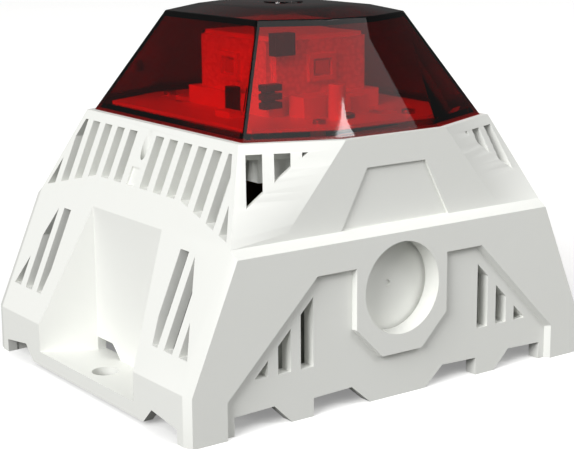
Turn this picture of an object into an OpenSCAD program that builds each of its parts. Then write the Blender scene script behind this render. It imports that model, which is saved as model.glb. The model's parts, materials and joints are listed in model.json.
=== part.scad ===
// Louvred alarm siren with a flashing beacon, standing on its mounting feet.
// Front and back carry the cable entries, left and right carry the fixing pockets.

/* [Hood] */
// Overall width between the two fixing sides
body_w = 134; // [112:1:161]
// Overall depth between the two cable entry faces
body_d = 107; // [90:1:128]
// Height of the upright wall under the side slopes
wall_h = 13.2; // [11:0.1:16]
// Height of the step above the front and back plates
step_h = 47.4; // [44:0.1:52]
// Height of the hood without the lens
hood_h = 71; // [68:1:78]
// Width of the hood at its top rim
top_w = 84.6; // [80:0.1:90]
// Length of the straight rim edge along each fixing side
rim_side = 79.2; // [74:0.1:84]
// Length of the straight rim edge along the front and the back
rim_front = 33.6; // [28:0.1:40]
// Width of each corner facet where it dies into the step
facet_w = 15.6; // [12:0.1:20]
// Thickness of the moulded walls
wall = 2.6; // [2:0.1:3.2]
// Thickness of the raised front and back plates
plate_t = 3; // [2:0.1:4]
// Depth of the sunk field in the front and back plates
field_t = 1.7; // [1:0.1:2.2]

/* [Louvres] */
// Distance between neighbouring louvre slots
slot_pitch = 7.06; // [6.4:0.02:7.6]
// Width of a louvre slot
slot_w = 4; // [3:0.1:4.6]

/* [Fixing] */
// Radius of the wall screw holes in the fixing ledges
fix_r = 3.7; // [2.5:0.1:4.5]
// Distance of each wall screw hole from the outer wall
fix_in = 6.4; // [5:0.1:8]
// Radius of the cable entry bores
entry_r = 12.6; // [8:0.1:12.8]
// Height of the cable entry centres
entry_z = 30.2; // [28:0.1:32]

/* [Beacon] */
// Height of the sloping lens walls
lens_h = 28.8; // [24:0.1:34]
// Rise of the shallow dome on the lens
dome_h = 2.5; // [1:0.1:5]
// Thickness of the lens walls
lens_t = 2.2; // [1.6:0.1:3]
// Half width of the light tower across its lamp boards
tower_r = 17; // [14:0.5:18]
// Height of the light tower above its deck
tower_h = 21; // [16:0.5:22]

/* [Settings] */
// Number of tone switch sliders
tone_count = 5; // [3:1:5]
// Radius of the volume rotor
volume_r = 2.2; // [1.5:0.1:3]

/* [Sounder] */
// Radius of the driver flange
driver_r = 33; // [28:0.5:34]
// Radius of the ring magnet
magnet_r = 19; // [14:0.5:20]

/* [Hidden] */
$fn = 64;
eps = 0.01;
big = 400;
gap = 0.2;
half_w = body_w / 2;
half_d = body_d / 2;
face_y = half_d - plate_t;
rim_x = top_w / 2;
slope = (half_w - rim_x) / (hood_h - wall_h);
step_x = side_x(step_h);
wall_x = wall * sqrt(1 + slope * slope);
inner_y = face_y - wall;
edge_in = 0.9;
edge_drop = 2;
facet_angle = atan2(face_y - rim_side / 2, rim_x - rim_front / 2);
facet_cut = facet_angle + 9.9;

// Sunk field and entry boss on the plates
field_x = half_w - 11.1;
field_top = 37.7;
field_low = 9.9;
field_draft = 1;
boss_x = 15.3;
boss_cut = 8.6;
boss_low = 12.6;
boss_draft = 0.5;
collar_r = entry_r + 3;
collar_y = inner_y - 3.3;
disc_t = 2;
disc_gap = 1;

// Fixing pockets
pocket_x = half_w - 14.4;
pocket_y = 18.6;
pocket_splay = 0.556;
ledge_top = 5.1;
ledge_low = 1.1;
fix_x = half_w - fix_in;

// Long cover screws
bore_r = 1.7;
bore_x = side_x(hood_h - 5.3);
bore_y = 2;
closed_y = slot_pitch / 2;
bore_low = 52;
tube_r = 4;
tube_low = 16;
tube_gap = 2.65;
stem_r = 1;
stem_hole_r = 1.2;

// Heights of the parts inside
base_low = 4;
base_t = 3;
base_top = base_low + base_t;
seal_t = 0.8;
core_low = base_top + seal_t;
core_top = 46;
core_x = bore_x - tube_r - tube_gap;
core_y = face_y - 8.5;
core_t = 2.6;
board_t = 1.6;
terminal_z = 13;
tray_low = 60;
tray_top = hood_h - 2.8;
flange_low = tray_top - 1.8;
tray_in = 7.2;
tray_corner = 2.5;
ear_x = 9;
ear_y = face_y - 4.8;
ear_top = 62.2;
sounder_z = 62.6;
sounder_top = sounder_z + board_t;
deck_z = hood_h + 0.5;
deck_t = 1.5;
deck_top = deck_z + deck_t;
deck_in = 7;
lens_in = 1.7;
lens_slope = 0.54;
opening_in = 4.2;
lip_t = 1.9;

// Driver
cone_r = driver_r - 7;
coil_r = 7.4;
coil_wall = 0.4;
pole_r = 6.6;
gap_r = 8.2;
magnet_low = 20;

// Settings under the deck windows
tone_x = -17.8;
tone_y = 26.5;
tone_pitch = 2.54;
tone_len = tone_pitch * tone_count + 1.4;
tone_w = 9.9;
tone_h = 5.5;
tone_travel = 2;
volume_x = 11;
volume_y = -30.5;
volume_h = 4;

function side_x(z) = half_w - max(0, z - wall_h) * slope;

// Octagon of the hood at a height above the step, moved inwards by a distance
function rise(z) = (z - step_h) / (hood_h - step_h);
function lean(z) = atan2(face_y - side_end(z), side_x(z) - front_end(z));
function side_end(z) = face_y + (rim_side / 2 - face_y) * rise(z);
function front_end(z) = step_x - facet_w + (rim_front / 2 - step_x + facet_w) * rise(z);
function octagon(x, y, sy, fx) = [[x, -sy], [x, sy], [fx, y], [-fx, y], [-x, sy], [-x, -sy],
    [-fx, -y], [fx, -y]];
function hood_ring(z, x_in, in) = octagon(side_x(z) - x_in, face_y - in,
    side_end(z) - in * tan(45 - lean(z) / 2), front_end(z) - in * tan(lean(z) / 2));
function lower_ring(z, x_in, in) = octagon(side_x(z) - x_in, face_y - in, face_y - in,
    front_end(step_h) - in * tan(lean(step_h) / 2));
function rim_ring(in) = octagon(rim_x - in, face_y - in,
    rim_side / 2 - in * tan(45 - facet_angle / 2), rim_front / 2 - in * tan(facet_angle / 2));
function tray_ring(in) = octagon(rim_x - in, face_y - in,
    rim_side / 2 - in * tan(45 - facet_angle / 2) + tray_corner / cos(facet_angle),
    rim_front / 2 - in * tan(facet_angle / 2) + tray_corner / sin(facet_angle));
function lift(ring, z) = [for (p = ring) [p[0], p[1], z]];
function upright(ring, y) = [for (p = ring) [p[0], y, p[1]]];

// Closed skin over a stack of level rings that all have the same number of corners
module skin(rings) {
    count = len(rings[0]);
    last = len(rings) - 1;
    low_hub = count * (last + 1);
    polyhedron(
        points = concat([for (ring = rings) for (p = ring) p],
            [[0, 0, rings[0][0][2]], [0, 0, rings[last][0][2]]]),
        faces = concat(
            [for (i = [0:count - 1]) [i, (i + 1) % count, low_hub]],
            [for (k = [0:last - 1]) for (i = [0:count - 1]) each [
                [k * count + i, (k + 1) * count + i, (k + 1) * count + (i + 1) % count],
                [k * count + i, (k + 1) * count + (i + 1) % count, k * count + (i + 1) % count]]],
            [for (i = [0:count - 1]) [last * count + (i + 1) % count, last * count + i,
                low_hub + 1]]));
}

// Skin between two rings whose side faces are flat
module frustum(low, high) {
    count = len(low);
    polyhedron(
        points = concat(low, high),
        faces = concat(
            [[for (i = [0:count - 1]) i]],
            [for (i = [0:count - 1]) [i, count + i, count + (i + 1) % count, (i + 1) % count]],
            [[for (i = [0:count - 1]) 2 * count - 1 - i]]));
}

// Draws its children for the front and again turned for the back
module both_faces() {
    for (a = [0, 180]) rotate([0, 0, a]) children();
}

// Flat shape drawn in depth and height, pushed through from one side wall to the other
module across(from, to) {
    translate([from, 0, 0]) rotate([90, 0, 90]) linear_extrude(to - from) children();
}

// Flat shape drawn in width and height, pushed from a front depth to a back depth
module along(from, to) {
    translate([0, to, 0]) rotate([90, 0, 0]) linear_extrude(to - from) children();
}

module prism(ring, low, high) {
    translate([0, 0, low]) linear_extrude(high - low) polygon(ring);
}

module box(x, y, z, sx, sy, sz) {
    translate([x - sx / 2, y - sy / 2, z]) cube([sx, sy, sz]);
}

module rod(x, y, low, high, r) {
    translate([x, y, low]) cylinder(h = high - low, r = r);
}

module four(x, y) {
    for (sx = [-1, 1], sy = [-1, 1]) translate([sx * x, sy * y, 0]) children();
}

// Screw with a round head and a cross shaped drive, axis upwards
module pan_screw(head_z, length, r, head_r) {
    head_t = head_r * 0.6;
    difference() {
        union() {
            rod(0, 0, head_z, head_z + head_t, head_r);
            rod(0, 0, head_z - length, head_z + eps, r);
        }
        for (a = [0, 90]) rotate([0, 0, a])
            box(0, 0, head_z + head_t / 2, head_r * 1.3, head_r * 0.26, head_t);
    }
}

// Outer shape of the hood
plate_ring = [[-half_w, 0], [half_w, 0], [half_w, wall_h], [step_x, step_h],
    [-step_x, step_h], [-half_w, wall_h]];
edge_x = edge_in * sqrt(1 + slope * slope);
edge_knee = wall_h - (edge_x - edge_in) / slope;
edge_top = step_h - edge_drop;
edge_top_x = side_x(edge_top) - edge_x;
plate_edge = [[-half_w + edge_in, 0], [half_w - edge_in, 0], [half_w - edge_in, edge_knee],
    [edge_top_x, edge_top], [-edge_top_x, edge_top], [-half_w + edge_in, edge_knee]];
layers = 12;

// Body from a low level to a high one, moved inwards by the wall at the sides and the front
module hood_body(low, high, x_in, in) {
    skin(concat(
        [for (z = [low, wall_h]) lift(lower_ring(z, x_in, in), z)],
        [for (k = [0:layers]) lift(hood_ring(step_h + (high - step_h) * k / layers, x_in, in),
            step_h + (high - step_h) * k / layers)]));
}

module hood_outside() {
    hood_body(0, hood_h, 0, 0);
    both_faces() frustum(upright(plate_ring, -face_y), upright(plate_edge, -half_d));
}

// Sunk field of a plate with the raised entry boss left standing in it
module field_cut() {
    rim = [[-field_x, -1], [field_x, -1], [field_x, field_low],
        [field_x - field_top + field_low, field_top], [-field_x + field_top - field_low, field_top],
        [-field_x, field_low]];
    d = field_draft;
    floor_ring = [[-field_x + d, -1], [field_x - d, -1], [field_x - d, field_low - d * 0.41],
        [field_x - field_top + field_low - d * 0.41, field_top - d],
        [-field_x + field_top - field_low + d * 0.41, field_top - d],
        [-field_x + d, field_low - d * 0.41]];
    difference() {
        frustum(upright(floor_ring, -half_d + field_t), upright(rim, -half_d - eps));
        frustum(upright(boss_ring(boss_draft), -half_d + field_t + 1),
            upright(boss_ring(0), -half_d - 1));
    }
}

function boss_ring(e) = [[-boss_x + boss_cut - e * 0.41, boss_low - e],
    [boss_x - boss_cut + e * 0.41, boss_low - e], [boss_x + e, boss_low + boss_cut - e * 0.41],
    [boss_x + e, step_h], [-boss_x - e, step_h], [-boss_x - e, boss_low + boss_cut - e * 0.41]];

// Three slots each side of the entry, cut off along the slanted field edge
module plate_slots() {
    low = 13.5;
    reach = field_x - 9.5;
    intersection() {
        polygon([[reach - 18.1, low], [reach, low], [reach, low + 0.4], [reach - 18.1, low + 18.5]]);
        for (k = [0:2]) translate([reach - 18.1 + k * slot_pitch, 0]) square([slot_w, step_h]);
    }
}

// Notches in the lower edge of the front wall
module front_notches() {
    polygon([[9.5, -1], [9.5, 0], [15.8, 5.4], [28.2, 5], [28.2, -1]]);
    polygon([[field_x - 20.8, -1], [field_x - 20.8, 0], [field_x - 15.3, 5.4],
        [field_x - 3.1, 5], [field_x - 3.1, -1]]);
}

module side_notches() {
    polygon([[31.2, -1], [31.2, 1.1], [35.5, 5.4], [half_d - 5.9, 3.8], [half_d - 5.9, -1]]);
}

// Field of the upper louvres on a side slope, as depth and height
module upper_slots() {
    top = hood_h - 2.5;
    reach = rim_side / 2 - 1.3;
    intersection() {
        polygon([[-22.7, 54.8], [22.7, 54.8], [reach + 9.6, 48.8], [reach, top], [-reach, top],
            [-reach - 9.6, 48.8]]);
        union() {
            for (k = [-7:6]) translate([(k + 0.5) * slot_pitch - slot_w / 2, 0])
                square([slot_w, big]);
        }
    }
}

module lower_slots() {
    top = 44.1;
    low = 20.7;
    intersection() {
        polygon([[29.7, 27.9], [31.2, low], [face_y - 2.6, low], [face_y - 13.9, top], [29.7, top]]);
        for (k = [4:6]) translate([(k + 0.5) * slot_pitch - slot_w / 2, 0])
            square([slot_w, big]);
    }
}

// Slots of a corner facet, cut at an angle a little steeper than the rim edge of the facet
module facet_slots() {
    top = hood_h - 2.5;
    start = -12.2;
    intersection() {
        polygon([[start, 56.2], [start + 15.9, top], [start, top]]);
        for (k = [0:2]) translate([start + k * (slot_pitch + 0.1), 0]) square([slot_w + 0.2, big]);
    }
}

module pocket_plan(grow) {
    out = 22;
    polygon([[pocket_x - grow, -pocket_y - grow], [pocket_x + out, -pocket_y - grow - pocket_splay * out],
        [pocket_x + out, pocket_y + grow + pocket_splay * out], [pocket_x - grow, pocket_y + grow]]);
}

module hood() {
    trim = 0.6;
    groove_t = 0.7;
    groove_low = 54.8;
    color("WhiteSmoke") difference() {
        union() {
            difference() {
                hood_outside();
                hood_body(-1, tray_top, wall_x, wall);
            }
            both_faces() intersection() {
                translate([0, 0, ledge_low]) linear_extrude(hood_h - ledge_low) pocket_plan(wall);
                along(-inner_y - 1, inner_y + 1) polygon(plate_ring);
            }
            both_faces() intersection() {
                rod(-bore_x, bore_y, tube_low, tray_top + eps, tube_r);
                hood_body(0, hood_h, trim, trim);
            }
            both_faces() translate([0, -inner_y - 1, entry_z]) rotate([-90, 0, 0])
                cylinder(h = inner_y - collar_y + 1, r = collar_r);
            four(ear_x, ear_y) rod(0, 0, ear_top, tray_top + 1, 2.4);
        }
        both_faces() translate([0, 0, ledge_top]) linear_extrude(hood_h) pocket_plan(0);
        both_faces() rod(fix_x, 0, -1, ledge_top + 1, fix_r);
        both_faces() field_cut();
        both_faces() translate([0, -half_d - 1, entry_z]) rotate([-90, 0, 0])
            cylinder(h = half_d, r = entry_r);
        both_faces() translate([0, -inner_y, entry_z]) rotate([-90, 0, 0])
            cylinder(h = 6, r = entry_r + 1.6);
        both_faces() for (s = [-1, 1]) rod(s * ear_x, ear_y, tray_low, tray_top - 0.6, 0.9);
        both_faces() along(-half_d - 1, -inner_y + 1) {
            plate_slots();
            mirror([1, 0]) plate_slots();
            front_notches();
            mirror([1, 0]) front_notches();
        }
        both_faces() along(-face_y - 1, -face_y + 0.8)
            polygon([[-18.3, step_h], [18.3, step_h], [9.9, step_h + 15.7], [-9.9, step_h + 15.7]]);
        both_faces() across(half_w - 4, half_w + 1) {
            side_notches();
            mirror([1, 0]) side_notches();
            translate([-31.2, -1]) square([62.4, 2.1]);
        }
        both_faces() across(rim_x - 4.2, half_w + 1) {
            difference() {
                upper_slots();
                translate([-closed_y - slot_w / 2 - 1, 0]) square([slot_w + 2, big]);
            }
            lower_slots();
            mirror([1, 0]) lower_slots();
        }
        both_faces() intersection() {
            across(rim_x - 4.2, half_w + 1)
                translate([-closed_y - slot_w / 2, groove_low]) square([slot_w, 4.8]);
            along(-half_d, half_d) polygon([[side_x(50) - groove_t, 50], [side_x(50) + 5, 50],
                [rim_x + 5, hood_h], [rim_x - groove_t, hood_h]]);
        }
        for (m = [0, 1], a = [0, 180]) rotate([0, 0, a]) mirror([m, 0, 0])
            rotate([0, 0, -facet_cut]) along(-half_w, -face_y + 13.4) facet_slots();
        both_faces() across(pocket_x - wall - 1, pocket_x + 1) for (m = [0, 1]) mirror([m, 0])
            polygon([[pocket_y, ledge_top], [pocket_y, 9], [pocket_y - 8.6, 9],
                [pocket_y - 12.8, ledge_top]]);
        both_faces() rod(-bore_x, bore_y, bore_low, hood_h + 1, bore_r);
        both_faces() rod(-bore_x, bore_y, tube_low - 1, bore_low + 1, stem_hole_r);
        prism(rim_ring(opening_in), tray_top - 1, hood_h + 1);
    }
}

// Break-out disc that closes a cable entry
module knockout() {
    dimple_r = 0.9;
    translate([0, -inner_y + disc_gap, entry_z]) rotate([-90, 0, 0]) difference() {
        cylinder(h = disc_t, r = entry_r + 1.4);
        translate([0, 0, -1]) cylinder(h = 1.4, r = dimple_r);
    }
}

module knockout_front() {
    color("Gainsboro") knockout();
}

module knockout_back() {
    color("Gainsboro") rotate([0, 0, 180]) knockout();
}

module entry_seals() {
    color("DimGray") both_faces() translate([0, -collar_y, entry_z]) rotate([-90, 0, 0])
        difference() {
            cylinder(h = collar_y - core_y, r = collar_r);
            translate([0, 0, -1]) cylinder(h = 10, r = entry_r - 0.6);
        }
}

module base_plate() {
    post_r = 3;
    color("LightGray") difference() {
        union() {
            box(0, 0, base_low, 2 * core_x + 14, 2 * core_y + 6, base_t);
            both_faces() rod(-bore_x, bore_y, base_low, tube_low, tube_r);
            both_faces() box(-bore_x + 4, bore_y, base_low, 9, 2 * tube_r, base_t);
            four(19, 33) rod(0, 0, base_low, terminal_z, post_r);
            for (y = [-24, 0, 24]) box(0, y, base_low - 1.5, 2 * core_x - 14, 2, 2);
        }
        both_faces() rod(-bore_x, bore_y, 8, tube_low + 1, 2.4);
        both_faces() rod(-bore_x, bore_y, base_low - 1, 9, stem_hole_r);
        four(19, 33) rod(0, 0, base_top + 1, terminal_z + 1, 0.9);
        four(core_x - 6, core_y - 5) {
            rod(0, 0, base_low - 1, base_top + 1, 1.7);
            rod(0, 0, base_low - 1, base_low + 1.6, 3.2);
        }
    }
}

module base_seal() {
    color("DimGray") difference() {
        box(0, 0, base_top, 2 * core_x, 2 * core_y, seal_t);
        box(0, 0, base_top - 1, 2 * (core_x - core_t), 2 * (core_y - core_t), 4);
    }
}

// Sealed inner box that holds the driver above the terminals
module core_housing() {
    color("Gainsboro") difference() {
        union() {
            difference() {
                box(0, 0, core_low, 2 * core_x, 2 * core_y, core_top - core_low);
                box(0, 0, core_low - 1, 2 * (core_x - core_t), 2 * (core_y - core_t),
                    core_top - core_low - core_t + 1);
            }
            four(core_x - 6, core_y - 5) rod(0, 0, core_low, core_top - eps, 3.6);
            four(driver_r * 0.64, driver_r * 0.64) rod(0, 0, core_top - 8, core_top - eps, 2.6);
        }
        rod(0, 0, core_top - 10, core_top + 1, cone_r + 1.3);
        both_faces() translate([0, -core_y - 1, entry_z]) rotate([-90, 0, 0])
            cylinder(h = core_t + 2, r = entry_r - 1.6);
        four(core_x - 6, core_y - 5) rod(0, 0, core_low - 1, core_low + 12, 1.25);
        four(driver_r * 0.64, driver_r * 0.64) rod(0, 0, core_top - 7, core_top + 1, 1.05);
    }
}

module thread_inserts() {
    color("Goldenrod") both_faces() translate([-bore_x, bore_y, 0]) difference() {
        rod(0, 0, 8, tube_low - 0.2, 2.4);
        rod(0, 0, 7, tube_low, stem_r);
    }
}

module cover_screws() {
    color("Silver") both_faces() translate([-bore_x, bore_y, 0])
        pan_screw(bore_low, bore_low - 9, stem_r, bore_r - 0.25);
}

module base_screws() {
    color("Silver") four(core_x - 6, core_y - 5) translate([0, 0, base_low + 1.6])
        mirror([0, 0, 1]) pan_screw(0, 12, 1.25, 2.6);
}

module terminal_board() {
    color("SeaGreen") difference() {
        box(0, 0, terminal_z, 46, 74, board_t);
        four(19, 33) rod(0, 0, terminal_z - 1, terminal_z + 3, 1.2);
    }
}

module terminal_blocks() {
    poles = 4;
    step = 5;
    color("ForestGreen") for (s = [-1, 1]) difference() {
        box(0, s * 30.5, terminal_z + board_t, poles * step, 8, 10);
        for (k = [0:poles - 1]) translate([(k - (poles - 1) / 2) * step, s * 30.5, 0]) {
            rod(0, 0, terminal_z + board_t + 5, 40, 1.8);
            box(0, s * 3, terminal_z + board_t + 1, 3, 4, 3);
        }
    }
}

module terminal_screws() {
    poles = 4;
    step = 5;
    z = terminal_z + board_t + 5;
    color("Silver") for (s = [-1, 1], k = [0:poles - 1])
        translate([(k - (poles - 1) / 2) * step, s * 30.5, 0]) difference() {
            rod(0, 0, z, z + 4, 1.7);
            box(0, 0, z + 3.2, 4, 0.5, 1);
        }
}

module board_screws() {
    color("Silver") {
        four(19, 33) pan_screw(terminal_z + board_t, 5, 0.9, 1.8);
        four(26, 30) pan_screw(sounder_top, 3, 0.9, 1.8);
    }
}

module driver_frame() {
    color("SlateGray") difference() {
        union() {
            rod(0, 0, core_top, core_top + 2, driver_r);
            translate([0, 0, 32]) cylinder(h = core_top - 31.4, r1 = magnet_r + 1, r2 = cone_r + 1);
        }
        translate([0, 0, 33]) cylinder(h = core_top - 33 + eps, r1 = magnet_r - 1, r2 = cone_r - 1);
        rod(0, 0, core_top - 0.8, core_top + 3, cone_r + 0.3);
        rod(0, 0, 31, 34, gap_r + 2);
        for (a = [0:60:300]) rotate([0, 0, a]) translate([0, -4, 36]) cube([40, 8, 6]);
        four(driver_r * 0.64, driver_r * 0.64) rod(0, 0, core_top - 1, core_top + 3, 1.3);
    }
}

module driver_yoke() {
    color("Silver") {
        rod(0, 0, magnet_low, magnet_low + 3, magnet_r);
        rod(0, 0, magnet_low + 3 - eps, magnet_low + 13, pole_r);
    }
}

module ring_magnet() {
    color("DarkSlateGray") difference() {
        rod(0, 0, magnet_low + 3, magnet_low + 10, magnet_r);
        rod(0, 0, magnet_low, magnet_low + 11, gap_r + 2);
    }
}

module front_pole_plate() {
    color("Silver") difference() {
        rod(0, 0, magnet_low + 10, magnet_low + 12, magnet_r);
        rod(0, 0, magnet_low, magnet_low + 13, gap_r);
    }
}

module driver_screws() {
    color("Silver") four(driver_r * 0.64, driver_r * 0.64) pan_screw(core_top + 2, 8, 1.05, 2);
}

// Shallow cone with a rolled rim and a dome over the coil
module diaphragm() {
    t = 0.6;
    color("Tan") rotate_extrude() polygon([[coil_r - 0.4, 40], [coil_r + coil_wall, 40],
        [cone_r - 4, 46.2], [cone_r - 3, 47.1], [cone_r - 1, 47.1], [cone_r, 46], [cone_r, 46 + t],
        [cone_r - 0.8, 47.1 + t],
        [cone_r - 3.2, 47.1 + t], [cone_r - 4.3, 46.2 + t], [coil_r + 0.2, 40 + t + 0.5],
        [coil_r * 0.7, 42.3], [0, 43.2], [0, 42.6], [coil_r * 0.65, 41.7]]);
}

module voice_coil() {
    color("Peru") difference() {
        rod(0, 0, 30.5, 40, coil_r + coil_wall);
        rod(0, 0, 30, 41, coil_r - 0.4);
    }
}

// Round cap that turns the sound outwards towards the louvres
module sound_deflector() {
    color("Gainsboro") union() {
        rotate_extrude() polygon([[0, 50.4], [6, 51.4], [14, 54], [24, 56], [31, 56.6], [31, 58.2],
            [0, 58.2]]);
        four(20, 30) rod(0, 0, core_top, 58.2, 2.4);
        for (s = [-1, 1]) box(0, s * 30, 56.6, 44, 5, 1.6);
    }
}

// Sloping screen behind the louvres that keeps rain off the driver
module rain_baffle() {
    off = wall_x + 3.6;
    t = 1.6;
    low = 46;
    top = flange_low - 0.2;
    difference() {
        along(-rim_side / 2 + 5, rim_side / 2 - 5) polygon([[side_x(low) - off, low],
            [side_x(top) - off, top], [side_x(top) - off - t, top], [side_x(low) - off - t, low]]);
        rod(bore_x, -bore_y, low - 1, top + 1, tube_r + 0.4);
    }
}

module rain_baffle_left() {
    color("Gainsboro") rotate([0, 0, 180]) rain_baffle();
}

module rain_baffle_right() {
    color("Gainsboro") rain_baffle();
}

// Dish under the beacon that seals the boards from the sound chamber
module light_tray() {
    color("Gainsboro") difference() {
        union() {
            prism(tray_ring(tray_in), tray_low, tray_top);
            prism(rim_ring(3), flange_low, tray_top);
            both_faces() for (s = [-1, 1])
                box(s * ear_x, -ear_y + 1, tray_low, 6, 5.6, ear_top - tray_low - 0.2);
            four(15, 36.5) rod(0, 0, tray_low, deck_z, 2);
        }
        difference() {
            prism(tray_ring(tray_in + 2), tray_low + 2, tray_top + 1);
            four(26, 30) rod(0, 0, tray_low, sounder_z, 2.6);
            four(15, 36.5) rod(0, 0, tray_low, deck_z, 2);
        }
        four(26, 30) rod(0, 0, tray_low + 1, tray_top, 0.9);
        four(15, 36.5) rod(0, 0, tray_top, deck_z + 1, 1.1);
        four(ear_x, ear_y) {
            rod(0, 0, tray_low - 1, ear_top, 1.2);
            rod(0, 0, ear_top, tray_top + 1, 2.6);
        }
        both_faces() rod(-bore_x, bore_y, flange_low - 1, tray_top + 1, tube_r + 0.2);
    }
}

module tray_screws() {
    color("Silver") four(ear_x, ear_y) translate([0, 0, tray_low]) mirror([0, 0, 1])
        pan_screw(0, 7, 0.9, 1.9);
}

module lens_seal() {
    color("DimGray") difference() {
        prism(rim_ring(opening_in + gap), tray_top, tray_top + seal_t);
        prism(rim_ring(opening_in + gap + lip_t), tray_top - 1, tray_top + 2);
    }
}

module sounder_board() {
    color("SeaGreen") difference() {
        union() {
            box(0, 0, sounder_z, 58, 68, board_t);
            box(0, 0, sounder_z, 25, 78, board_t);
        }
        four(26, 30) rod(0, 0, sounder_z - 1, sounder_z + 3, 1.2);
    }
}

module tone_switch_body() {
    color("Crimson") difference() {
        box(tone_x, tone_y, sounder_top, tone_w, tone_len, tone_h);
        for (k = [0:tone_count - 1]) box(tone_x, tone_y + (k - (tone_count - 1) / 2) * tone_pitch,
            sounder_top + tone_h - 1.2, 4.2, 1.5, 3);
    }
}

// One slider of the tone switch, numbered from the front
module tone_slider(k) {
    if (k < tone_count) color("White")
        box(tone_x - tone_travel / 2, tone_y + (k - (tone_count - 1) / 2) * tone_pitch,
            sounder_top + tone_h - 1.1, 1.9, 1.3, 1.9);
}

module tone_slider_1() {
    tone_slider(0);
}

module tone_slider_2() {
    tone_slider(1);
}

module tone_slider_3() {
    tone_slider(2);
}

module tone_slider_4() {
    tone_slider(3);
}

module tone_slider_5() {
    tone_slider(4);
}

module volume_body() {
    color("RoyalBlue") difference() {
        box(volume_x, volume_y, sounder_top, 7, 7, volume_h);
        rod(volume_x, volume_y, sounder_top + 1.4, sounder_top + volume_h + 1, volume_r + 0.05);
    }
}

module volume_rotor() {
    color("White") difference() {
        rod(volume_x, volume_y, sounder_top + 1.5, sounder_top + volume_h + 1.2, volume_r);
        box(volume_x, volume_y, sounder_top + volume_h + 0.4, 2 * volume_r - 0.8, 0.8, 1);
    }
}

module capacitors() {
    color("MidnightBlue") for (p = [[22, -14], [22, -3], [22, 8]]) difference() {
        rod(p[0], p[1], sounder_top, sounder_top + 6.8, 4.2);
        rod(p[0], p[1], sounder_top + 6.5, sounder_top + 9, 3.2);
    }
}

module booster_coil() {
    color("Peru") translate([-20, -14, 0]) difference() {
        union() {
            rod(0, 0, sounder_top, sounder_top + 1, 6);
            rod(0, 0, sounder_top, sounder_top + 6, 4.6);
            rod(0, 0, sounder_top + 5, sounder_top + 6, 6);
        }
        rod(0, 0, sounder_top + 1, sounder_top + 7, 1.6);
    }
}

module control_chips() {
    color("Black") {
        box(0, 0, sounder_top, 10, 10, 1.4);
        box(6, 18, sounder_top, 8, 5, 1.6);
        box(-6, -18, sounder_top, 5, 8, 1.6);
        box(0, 32, sounder_top, 12, 6, 5);
    }
}

// White deck under the lens with windows over the tone switch and the volume rotor
module reflector_deck() {
    color("White") difference() {
        prism(rim_ring(deck_in), deck_z, deck_top);
        box(tone_x, tone_y, deck_z - 1, 6.4, 13.4, deck_t + 2);
        rod(volume_x, volume_y, deck_z - 1, deck_top + 1, 4);
        four(15, 36.5) rod(0, 0, deck_z - 1, deck_top + 1, 1.1);
    }
}

module deck_screws() {
    color("Silver") four(15, 36.5) pan_screw(deck_top, deck_t, 1.1, 1.8);
}

// White column that holds the four lamp boards
module light_tower() {
    foot = tower_r + 2;
    core = tower_r - 1.6;
    color("White") difference() {
        union() {
            box(0, 0, deck_top, 2 * foot, 2 * foot, 5);
            box(0, 0, deck_top, 2 * core, 2 * core, tower_h);
        }
        box(0, 0, deck_top - 1, 2 * core - 4, 2 * core - 4, tower_h - 2);
    }
}

module lamp_boards() {
    low = deck_top + 5;
    color("Ivory") for (a = [0:90:270]) rotate([0, 0, a])
        box(0, -tower_r + 0.8, low, 2 * tower_r - 4, 1.6, tower_h - 6.2);
}

module lamp_frames() {
    z = deck_top + tower_h / 2 + 1.6;
    color("White") for (a = [0:90:270]) rotate([0, 0, a]) difference() {
        box(0, -tower_r - 0.6, z - 3.8, 9.6, 1.2, 7.6);
        box(0, -tower_r - 0.6, z - 2.4, 6.4, 3, 4.8);
    }
}

module lamp_chips() {
    z = deck_top + tower_h / 2 + 1.6;
    color("Gold") for (a = [0:90:270]) rotate([0, 0, a])
        box(0, -tower_r - 0.3, z - 1.8, 4.8, 0.6, 3.6);
}

// Dark connector block at the top front corner and a stack of three driver packages below it
module tower_connector() {
    top = deck_top + tower_h + 1.2;
    color("Black") {
        box(-tower_r + 3, -tower_r - 1.5, top - 6, 6.6, 3, 6);
        for (k = [0:2]) box(-tower_r - 2.5, -tower_r - 3.5, deck_top + 2.6 + 2.4 * k, 5.6, 3, 1.7);
        box(-tower_r - 2.5, -tower_r - 2.4, deck_top + 2.6, 4, 0.8, 6.5);
        box(-tower_r - 3.2, -5.5, deck_top, 2.4, 4, 7);
    }
}

// Small box shaped and round parts standing on the deck in front of the tower
module flash_modules() {
    color("Ivory") {
        box(-8.4, -24, deck_top, 10, 7, 5.6);
        box(3.5, -27, deck_top, 6, 6, 5);
        rod(-7, -33.5, deck_top, deck_top + 9.4, 2.3);
        box(-26, -12, deck_top, 4, 7, 1.6);
    }
}

// Low dark can beside the standing round part
module flash_capacitor() {
    color("Black") difference() {
        rod(-3.8, -31.2, deck_top, deck_top + 1, 3.6);
        rod(-7, -33.5, deck_top - 1, deck_top + 2, 2.5);
    }
}

// Outline of the lens at a height above the hood, moved inwards by a distance
function lens_ring(h, in) = octagon(rim_x - lens_in - lens_slope * h - in,
    face_y - lens_in - lens_slope * h * 1.13 - in,
    rim_side / 2 - 1.2 - lens_slope * h * 0.98 - in * tan(45 - facet_angle / 2),
    rim_front / 2 - 0.4 - lens_slope * h * 0.55 - in * tan(facet_angle / 2));

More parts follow.
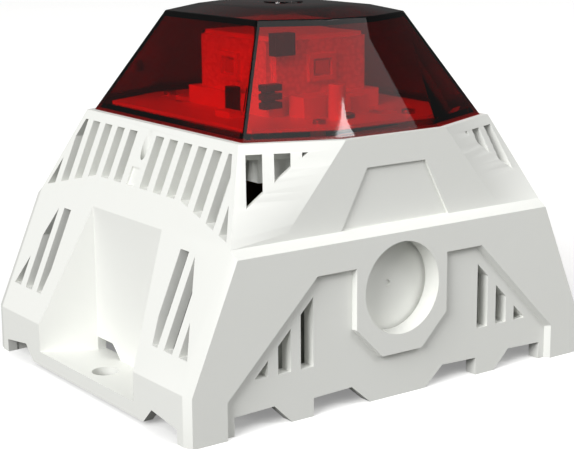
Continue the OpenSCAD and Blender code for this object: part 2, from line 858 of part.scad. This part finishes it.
// Faceted beacon lens with a shallow dome and a spigot below
module lens() {
    top = hood_h + lens_h;
    dome_k = 0.8;
    spigot_in = opening_in + gap;
    button_r = 5.6;
    color("Red", 0.6) {
        difference() {
            union() {
                skin([lift(lens_ring(0, 0), hood_h), lift(lens_ring(lens_h, 0), top),
                    lift(lens_ring(lens_h, 8), top + dome_h * dome_k),
                    lift(lens_ring(lens_h, 15), top + dome_h)]);
                rod(0, 0, top + dome_h - 0.5, top + dome_h + 0.3, button_r);
            }
            skin([lift(lens_ring(-0.1, lens_t), hood_h - 0.1),
                lift(lens_ring(lens_h - lens_t, lens_t), top - lens_t),
                lift(lens_ring(lens_h - lens_t, lens_t + 7), top + dome_h * dome_k - lens_t),
                lift(lens_ring(lens_h - lens_t, lens_t + 13), top + dome_h - lens_t)]);
        }
        difference() {
            prism(lens_ring(0, 1), hood_h, hood_h + 1.4);
            prism(rim_ring(spigot_in + lip_t), hood_h - 1, hood_h + 2);
        }
        difference() {
            prism(rim_ring(spigot_in), tray_top + seal_t, hood_h + 0.5);
            prism(rim_ring(spigot_in + lip_t), tray_top, hood_h + 2);
        }
    }
}

hood();
knockout_front();
knockout_back();
entry_seals();
base_plate();
base_seal();
core_housing();
thread_inserts();
cover_screws();
base_screws();
terminal_board();
terminal_blocks();
terminal_screws();
board_screws();
driver_frame();
driver_yoke();
ring_magnet();
front_pole_plate();
driver_screws();
diaphragm();
voice_coil();
sound_deflector();
rain_baffle_left();
rain_baffle_right();
light_tray();
tray_screws();
lens_seal();
sounder_board();
tone_switch_body();
tone_slider_1();
tone_slider_2();
tone_slider_3();
tone_slider_4();
tone_slider_5();
volume_body();
volume_rotor();
capacitors();
booster_coil();
control_chips();
reflector_deck();
deck_screws();
light_tower();
lamp_boards();
lamp_frames();
lamp_chips();
tower_connector();
flash_modules();
flash_capacitor();
lens();
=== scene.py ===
# %% [markdown]
# # An alarm siren with a beacon lens
# The siren is a white moulded hood with louvres, and a clear red lens on top of it. Its solids come
# in from the imported CAD frame. This lesson sets up a camera and a soft studio, gives each material
# the grain and mottle of the real one, and rounds the edges that a moulding tool leaves.

# %% Load the frame
import bpy
import bmesh
import json
import math
import numpy as np
from mathutils import Matrix


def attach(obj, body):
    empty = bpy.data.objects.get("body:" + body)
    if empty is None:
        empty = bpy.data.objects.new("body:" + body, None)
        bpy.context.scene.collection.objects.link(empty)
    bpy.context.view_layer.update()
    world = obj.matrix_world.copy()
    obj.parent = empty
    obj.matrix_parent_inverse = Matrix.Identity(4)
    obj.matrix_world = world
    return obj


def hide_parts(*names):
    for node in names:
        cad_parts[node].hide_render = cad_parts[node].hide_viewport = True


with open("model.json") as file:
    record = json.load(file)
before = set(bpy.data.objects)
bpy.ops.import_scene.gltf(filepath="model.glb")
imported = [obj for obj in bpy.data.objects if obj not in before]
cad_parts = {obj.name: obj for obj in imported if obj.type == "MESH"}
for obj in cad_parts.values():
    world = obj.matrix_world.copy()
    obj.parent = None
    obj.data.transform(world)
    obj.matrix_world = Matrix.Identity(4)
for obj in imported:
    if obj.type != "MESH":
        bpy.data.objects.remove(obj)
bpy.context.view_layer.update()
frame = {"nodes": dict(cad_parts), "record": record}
slot_of = {part["node"]: part["material_slot"] for part in frame["record"]["subparts"]}
bodies = frame["record"]["behaviour"]["bodies"]
body_of_node = {name: body for body, names in bodies.items() for name in names}
scene = bpy.context.scene

# %% [markdown]
# ## Camera
# A long lens from a little above shows the louvred side and the cable entry side together. The
# camera is described by where it stands, its heading, how far it looks down and a slight roll, and
# those four are turned into one matrix, which is easier to adjust than three Euler angles.

# %% Camera
camera_place = (-0.2451, -0.3439, 0.1320)
heading, down, roll = math.radians(36.054), math.radians(12.534), 0.00565
camera_data = bpy.data.cameras.new("studio_camera")
camera = bpy.data.objects.new("studio_camera", camera_data)
scene.collection.objects.link(camera)
camera.matrix_world = (Matrix.Translation(camera_place) @ Matrix.Rotation(-heading, 4, "Z")
                       @ Matrix.Rotation(math.pi / 2 - down, 4, "X") @ Matrix.Rotation(-roll, 4, "Z"))
camera_data.sensor_width = 36.0
camera_data.lens = 93.07
camera_data.shift_x = -0.0219
camera_data.shift_y = -0.0017
camera_data.clip_start = 0.01
scene.camera = camera
print("camera at", camera_place, "lens", camera_data.lens)

# %% [markdown]
# ## Soft studio
# White plastic shows its shape only by gentle differences of light. A wide soft sun from the left
# is the key; a sun keeps the whole floor evenly bright, which a panel can't. Two small panels, one
# at the left and one in front, light the lens from above, and a large card in front lays a pale
# veil on it. The sky gives more light to diffuse rays than it shows to a mirror. The lens is
# clearest before a dark studio, so the paper glows a little for the camera only, is grey for
# diffuse rays, and is nearly black for rays that passed the lens or bounced off a gloss. Floor and
# lights aren't the object.

# %% Helpers for materials
def linear(code):
    """sRGB hex to linear: each channel c goes to ((c + 0.055) / 1.055) ** 2.4, or c / 12.92 when dark."""
    c = np.array([int(code[i:i + 2], 16) for i in (1, 3, 5)]) / 255
    c = np.where(c <= 0.04045, c / 12.92, ((c + 0.055) / 1.055) ** 2.4)
    return (*c.tolist(), 1.0)


def add(tree, kind, settings=None, **links):
    """Adds one node; settings fill its sockets or attributes by name, links join (node, output) pairs."""
    made = tree.nodes.new(kind)
    for name, value in (settings or {}).items():
        if name in made.inputs:
            made.inputs[name].default_value = value
        else:
            setattr(made, name, value)
    for name, (source, output) in links.items():
        socket = made.inputs[int(name[1:])] if name[1:].isdigit() else made.inputs[name.replace("_", " ")]
        tree.links.new(source.outputs[output], socket)
    return made


def blank(name):
    """A new material with an empty tree and its output node."""
    material = bpy.data.materials.new(name)
    material.use_nodes = True
    material.node_tree.nodes.clear()
    return material, material.node_tree, add(material.node_tree, "ShaderNodeOutputMaterial")


# %% Studio light and floor
def hang(name, data, place, aim):
    """Links a light at that place and turns it so that its -Z looks along aim."""
    light = bpy.data.objects.new(name, data)
    scene.collection.objects.link(light)
    light.location = place
    light.rotation_euler = (math.acos(-aim[2] / np.linalg.norm(aim)), 0,
                            math.atan2(aim[1], aim[0]) - math.pi / 2)


def softbox(name, place, width, watts):
    """A square area light of that width in metres, which looks at the middle of the lens."""
    data = bpy.data.lights.new(name, "AREA")
    data.size, data.energy = width, watts
    hang(name, data, place, np.array(lens_middle) - np.array(place))


def sun(name, towards, watts, softness):
    """Parallel light of that strength; towards is the direction from the object to the light."""
    data = bpy.data.lights.new(name, "SUN")
    data.energy, data.angle = watts, math.radians(softness)
    hang(name, data, (0, 0, 0), -np.array(towards))


lens_middle = (0, 0, 0.08)
sun("left_key", towards=(-0.78, -0.30, 0.42), watts=2.6, softness=30)
softbox("left_strip", place=(-0.80, -0.22, 1.06), width=0.32, watts=2.2)
softbox("front_strip", place=(0.36, -0.82, 0.90), width=0.26, watts=1.7)
softbox("front_card", place=(0.47, -0.92, 0.93), width=1.70, watts=6.6)

world = bpy.data.worlds.new("pale_sky")
world.use_nodes = True
sky = world.node_tree.nodes["Background"]
sky_path = add(world.node_tree, "ShaderNodeLightPath")
glow = add(world.node_tree, "ShaderNodeMapRange", {"To Min": 0.08, "To Max": 0.32},
           Value=(sky_path, "Is Diffuse Ray"))
world.node_tree.links.new(glow.outputs[0], sky.inputs["Strength"])
sky.inputs["Color"].default_value = linear("#FFFFFF")
scene.world = world
scene.view_settings.view_transform = "Standard"

floor_mesh = bpy.data.meshes.new("studio_floor")
reach = 6
floor_corners = [(-reach, -reach, 0), (reach, -reach, 0), (reach, reach, 0), (-reach, reach, 0)]
floor_mesh.from_pydata(floor_corners, [], [(0, 1, 2, 3)])
floor = bpy.data.objects.new("studio_floor", floor_mesh)
scene.collection.objects.link(floor)
floor_look, tree, out = blank("white_paper_sweep")
paper = add(tree, "ShaderNodeBsdfDiffuse", {"Color": linear("#FDFDFC")})
lit = add(tree, "ShaderNodeEmission", {"Strength": 0.25})
glowing = add(tree, "ShaderNodeAddShader", None, _0=(paper, "BSDF"), _1=(lit, "Emission"))
grey = add(tree, "ShaderNodeBsdfDiffuse", {"Color": linear("#6E6E6C")})
dark = add(tree, "ShaderNodeBsdfDiffuse", {"Color": linear("#303030")})
path = add(tree, "ShaderNodeLightPath")
bounce = add(tree, "ShaderNodeMixShader", None, _0=(path, "Is Diffuse Ray"), _1=(dark, "BSDF"),
             _2=(grey, "BSDF"))
sweep = add(tree, "ShaderNodeMixShader", None, _0=(path, "Is Camera Ray"), _1=(bounce, 0),
            _2=(glowing, 0))
tree.links.new(sweep.outputs[0], out.inputs["Surface"])
floor_mesh.materials.append(floor_look)

# %% [markdown]
# ## Moulded plastics
# ABS comes out of a tool that was spark eroded, so its skin has a very fine grain, and the melt
# flow leaves slow waves in gloss. Both can be bump maps, height fields or real displacement; bump
# is enough, because the grain is a few hundredths of a millimetre deep. Two noise textures in real
# millimetres do it: one for the grain and one, far larger, that stains colour and roughness.

# %% Plastic with moulding grain
def moulded(name, colour, stain, roughness, grain_mm=0.35, depth_mm=0.010, wave_mm=22, ior=1.54):
    """Slow noise mixes the two colours and stirs the roughness; fine noise is the height of the grain."""
    material, tree, out = blank(name)
    where = add(tree, "ShaderNodeTexCoord")
    slow = add(tree, "ShaderNodeTexNoise", {"Scale": 1000 / wave_mm, "Detail": 3.0, "Roughness": 0.55},
               Vector=(where, "Object"))
    fine = add(tree, "ShaderNodeTexNoise", {"Scale": 1000 / grain_mm, "Detail": 2.0, "Roughness": 0.6},
               Vector=(where, "Object"))
    tint = add(tree, "ShaderNodeMix", {"data_type": "RGBA"}, Factor=(slow, "Fac"))
    tint.inputs[6].default_value, tint.inputs[7].default_value = linear(colour), linear(stain)
    gloss = add(tree, "ShaderNodeMapRange", {"From Min": 0.3, "From Max": 0.7, "To Min": roughness - 0.05,
                                             "To Max": roughness + 0.06}, Value=(slow, "Fac"))
    height = add(tree, "ShaderNodeBump", {"Strength": 0.35, "Distance": depth_mm / 1000},
                 Height=(fine, "Fac"))
    skin = add(tree, "ShaderNodeBsdfPrincipled", {"IOR": ior}, Roughness=(gloss, "Result"),
               Normal=(height, "Normal"))
    tree.links.new(tint.outputs[2], skin.inputs["Base Color"])
    tree.links.new(skin.outputs[0], out.inputs["Surface"])
    return material


# %% Finishes of the plastics
white_abs = moulded("white_ABS_spark_eroded", "#EDEEEA", "#E8E9E4", 0.46)
grey_abs = moulded("light_grey_ABS_moulded", "#B9BCB5", "#B1B4AC", 0.5)
white_pbt = moulded("white_PBT_moulded", "#F4F4F1", "#ECECE8", 0.4, grain_mm=0.3)
black_pbt = moulded("black_PBT_moulded", "#17181A", "#202124", 0.42)
blue_pbt = moulded("blue_PBT_moulded", "#1C3F8F", "#173577", 0.4)
green_pa = moulded("green_polyamide_moulded", "#2F7A44", "#286A3A", 0.45)
black_epdm = moulded("black_EPDM_rubber", "#1B1B1B", "#242424", 0.75, grain_mm=0.6, depth_mm=0.03)
sleeve_pvc = moulded("shrunk_PVC_sleeve", "#14161F", "#1C1F2B", 0.3, grain_mm=2.0, depth_mm=0.01)
phosphor_silicone = moulded("cast_phosphor_silicone", "#E0B43A", "#D2A22C", 0.35, grain_mm=0.5)
pressed_film = moulded("pressed_polyimide_film", "#9C6F3A", "#8B6132", 0.4, grain_mm=1.2, depth_mm=0.02)
print("plastics", white_abs.name, "to", pressed_film.name)

# %% [markdown]
# ## Metals
# Screws and magnet steel are zinc plated: a bright grey metal with a faint mottle from the bath and
# fine marks from rolling and turning. The marks are a noise stretched along one axis, which a
# Mapping node squeezes; a wave texture would look too regular.

# %% Metal with rolling marks
def plated(name, colour, stain, roughness, mark_mm=0.25, stretch=14.0):
    """Colour = mix(colour, stain, slow noise); height and roughness = noise squeezed along X and Y."""
    material, tree, out = blank(name)
    where = add(tree, "ShaderNodeTexCoord")
    squeeze = add(tree, "ShaderNodeMapping", {"Scale": (1, 1, stretch)}, Vector=(where, "Object"))
    marks = add(tree, "ShaderNodeTexNoise", {"Scale": 1000 / mark_mm / stretch, "Detail": 3.0},
                Vector=(squeeze, "Vector"))
    bath = add(tree, "ShaderNodeTexNoise", {"Scale": 1000 / 6.0, "Detail": 2.0}, Vector=(where, "Object"))
    tint = add(tree, "ShaderNodeMix", {"data_type": "RGBA"}, Factor=(bath, "Fac"))
    tint.inputs[6].default_value, tint.inputs[7].default_value = linear(colour), linear(stain)
    gloss = add(tree, "ShaderNodeMapRange", {"To Min": roughness - 0.08, "To Max": roughness + 0.1},
                Value=(marks, "Fac"))
    height = add(tree, "ShaderNodeBump", {"Strength": 0.25, "Distance": 0.00001}, Height=(marks, "Fac"))
    skin = add(tree, "ShaderNodeBsdfPrincipled", {"Metallic": 1.0}, Roughness=(gloss, "Result"),
               Normal=(height, "Normal"))
    tree.links.new(tint.outputs[2], skin.inputs["Base Color"])
    tree.links.new(skin.outputs[0], out.inputs["Surface"])
    return material


zinc_steel = plated("zinc_plated_steel", "#C3C5C8", "#B3B6BA", 0.32)
turned_brass = plated("turned_brass", "#C9A25A", "#B98F48", 0.3)
copper_wire = plated("enamelled_copper_winding", "#B5673A", "#A2562D", 0.35, mark_mm=0.3, stretch=20.0)
coated_sheet = moulded("black_coated_steel_sheet", "#26282A", "#1E2022", 0.5, grain_mm=0.5)
ferrite = moulded("ground_ferrite", "#2C2C2E", "#232325", 0.6, grain_mm=0.4, depth_mm=0.02)
print("metals", zinc_steel.name, turned_brass.name, copper_wire.name)

# %% [markdown]
# ## Circuit boards
# A board is glass laminate under coloured solder resist, and the copper tracks below lift the
# resist a little and show through as a lighter net. A Voronoi cell pattern set to straight
# distances gives blocks like tracks and pads; it is coarser than real tracks so that it shows.

# %% Solder resist over tracks
def laminate(name, resist, track, cell_mm=1.6):
    """Tracks lie far from each Voronoi point, between the cells, where they are lighter and raised."""
    material, tree, out = blank(name)
    where = add(tree, "ShaderNodeTexCoord")
    cells = add(tree, "ShaderNodeTexVoronoi", {"distance": "CHEBYCHEV", "Scale": 1000 / cell_mm,
                                               "Randomness": 0.75}, Vector=(where, "Object"))
    lines = add(tree, "ShaderNodeMapRange", {"From Min": 0.34, "From Max": 0.4},
                Value=(cells, "Distance"))
    tint = add(tree, "ShaderNodeMix", {"data_type": "RGBA"}, Factor=(lines, "Result"))
    tint.inputs[6].default_value, tint.inputs[7].default_value = linear(resist), linear(track)
    gloss = add(tree, "ShaderNodeMapRange", {"To Min": 0.28, "To Max": 0.42}, Value=(cells, "Distance"))
    height = add(tree, "ShaderNodeBump", {"Strength": 0.4, "Distance": 0.00003}, Height=(lines, "Result"))
    skin = add(tree, "ShaderNodeBsdfPrincipled", {"IOR": 1.5}, Roughness=(gloss, "Result"),
               Normal=(height, "Normal"))
    tree.links.new(tint.outputs[2], skin.inputs["Base Color"])
    tree.links.new(skin.outputs[0], out.inputs["Surface"])
    return material


green_board = laminate("green_resist_laminate", "#14502C", "#1D6B3C")
white_board = laminate("white_resist_laminate", "#F2F2EE", "#E4E4DF")
print("boards", green_board.name, white_board.name)

# %% [markdown]
# ## Clear red lens
# The lens is polycarbonate, dyed through and polished, so it bends light, mirrors the studio and
# dyes all that is seen through it. Glass by refraction shows that, but no lamp gets through glass
# to what stands inside, so for shadow rays the wall is a plain red see-through filter instead. A
# volume absorption stands for the dye, so a ray with a longer way through the wall comes out darker.

# %% Polycarbonate
def clear_dyed(name, colour, shade, roughness, dye_colour, density):
    """Glass of IOR 1.585 for what is seen, a see-through filter for shadow rays, dye in the volume."""
    material, tree, out = blank(name)
    where = add(tree, "ShaderNodeTexCoord")
    flow = add(tree, "ShaderNodeTexNoise", {"Scale": 1000 / 14.0, "Detail": 2.0}, Vector=(where, "Object"))
    gloss = add(tree, "ShaderNodeMapRange", {"To Min": roughness, "To Max": roughness + 0.03},
                Value=(flow, "Fac"))
    height = add(tree, "ShaderNodeBump", {"Strength": 0.15, "Distance": 0.0001}, Height=(flow, "Fac"))
    wall = add(tree, "ShaderNodeBsdfPrincipled", {"Base Color": linear(colour), "IOR": 1.585,
                                                  "Transmission Weight": 1.0},
               Roughness=(gloss, "Result"), Normal=(height, "Normal"))
    filtered = add(tree, "ShaderNodeBsdfTransparent", {"Color": linear(shade)})
    path = add(tree, "ShaderNodeLightPath")
    both = add(tree, "ShaderNodeMixShader", None, _0=(path, "Is Shadow Ray"), _1=(wall, "BSDF"),
               _2=(filtered, "BSDF"))
    dye = add(tree, "ShaderNodeVolumeAbsorption", {"Color": linear(dye_colour), "Density": density})
    tree.links.new(both.outputs[0], out.inputs["Surface"])
    tree.links.new(dye.outputs[0], out.inputs["Volume"])
    return material


red_polycarbonate = clear_dyed("red_polycarbonate_polished", "#FC3A2C", "#DE4034", roughness=0.02,
                               dye_colour="#BC2A24", density=370)

# %% Which finish each slot gets
finish = {
    "white_abs": white_abs, "grey_abs": grey_abs, "black_rubber": black_epdm, "brass": turned_brass,
    "steel": zinc_steel, "green_laminate": green_board, "green_plastic": green_pa,
    "dark_sheet": coated_sheet, "zinc_steel": zinc_steel, "ferrite": ferrite,
    "amber_film": pressed_film, "copper": copper_wire, "blue_plastic": blue_pbt,
    "white_plastic": white_pbt, "capacitor_sleeve": sleeve_pvc,
    "black_plastic": black_pbt, "white_laminate": white_board, "phosphor": phosphor_silicone,
    "red_polycarbonate": red_polycarbonate,
}
for name, solid in frame["nodes"].items():
    solid.data.materials.clear()
    solid.data.materials.append(finish[slot_of[name]])
print("painted", len(frame["nodes"]), "CAD nodes with", len(finish), "finishes")

# %% [markdown]
# ## Rounded mouldings
# No moulded edge is knife sharp, and the thin bright line along each edge is what makes a moulding
# look real. The CAD solid has sharp edges, so the piece is a copy: its loose triangles are welded,
# flat triangles are joined into one face, and a Bevel modifier rounds the edges that turn by more
# than a set angle, by a weight for each edge: on the lens the tall ridges get the widest arc, and
# edges that point inwards stay sharp. An edge beside a large flat face is also kept sharp in the
# shading, or the flat would look curved. The copy then stands for the CAD node.

# %% Weld, join and round a copy
def rounded(name, width_mm, segments, flat_mm2=250, tall_factor=1.0, convex_only=False):
    """A copy of a CAD node with an arc on its edges, tall_factor times wider on edges that rise far."""
    angle, flat_angle, crease_angle = 24, 0.6, 1.2
    weld_mm, tall_mm = 0.004, 15
    source = frame["nodes"][name]
    mesh = source.data.copy()
    shape = bmesh.new()
    shape.from_mesh(mesh)
    bmesh.ops.remove_doubles(shape, verts=shape.verts, dist=weld_mm / 1000)
    bmesh.ops.dissolve_limit(shape, angle_limit=math.radians(flat_angle),
                             verts=shape.verts, edges=shape.edges)
    weight = shape.edges.layers.float.new("bevel_weight_edge")
    for edge in shape.edges:
        bend = math.degrees(edge.calc_face_angle(0)) if len(edge.link_faces) == 2 else 0
        if bend > crease_angle:
            largest = max(face.calc_area() for face in edge.link_faces)
            edge.smooth = bend < angle and largest < flat_mm2 / 1e6
        if bend > angle and (edge.is_convex or not convex_only):
            rise = abs(edge.verts[0].co.z - edge.verts[1].co.z)
            edge[weight] = 1.0 if rise > tall_mm / 1000 else 1.0 / tall_factor
    shape.to_mesh(mesh)
    shape.free()
    for face in mesh.polygons:
        face.use_smooth = True
    if mesh.attributes.get("custom_normal"):
        mesh.attributes.remove(mesh.attributes["custom_normal"])
    piece = bpy.data.objects.new(name + "_moulding", mesh)
    scene.collection.objects.link(piece)
    bevel = piece.modifiers.new("edges", "BEVEL")
    bevel.width, bevel.segments = width_mm * tall_factor / 1000, segments
    bevel.limit_method = "WEIGHT"
    bevel.harden_normals, bevel.use_clamp_overlap = True, True
    mesh.materials.clear()
    mesh.materials.append(finish[slot_of[name]])
    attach(piece, body_of_node[name])
    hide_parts(name)
    print(name, len(mesh.polygons), "faces")


rounded("hood", 0.45, 3)
rounded("lens", 0.4, 6, flat_mm2=1e6, tall_factor=3.5, convex_only=True)
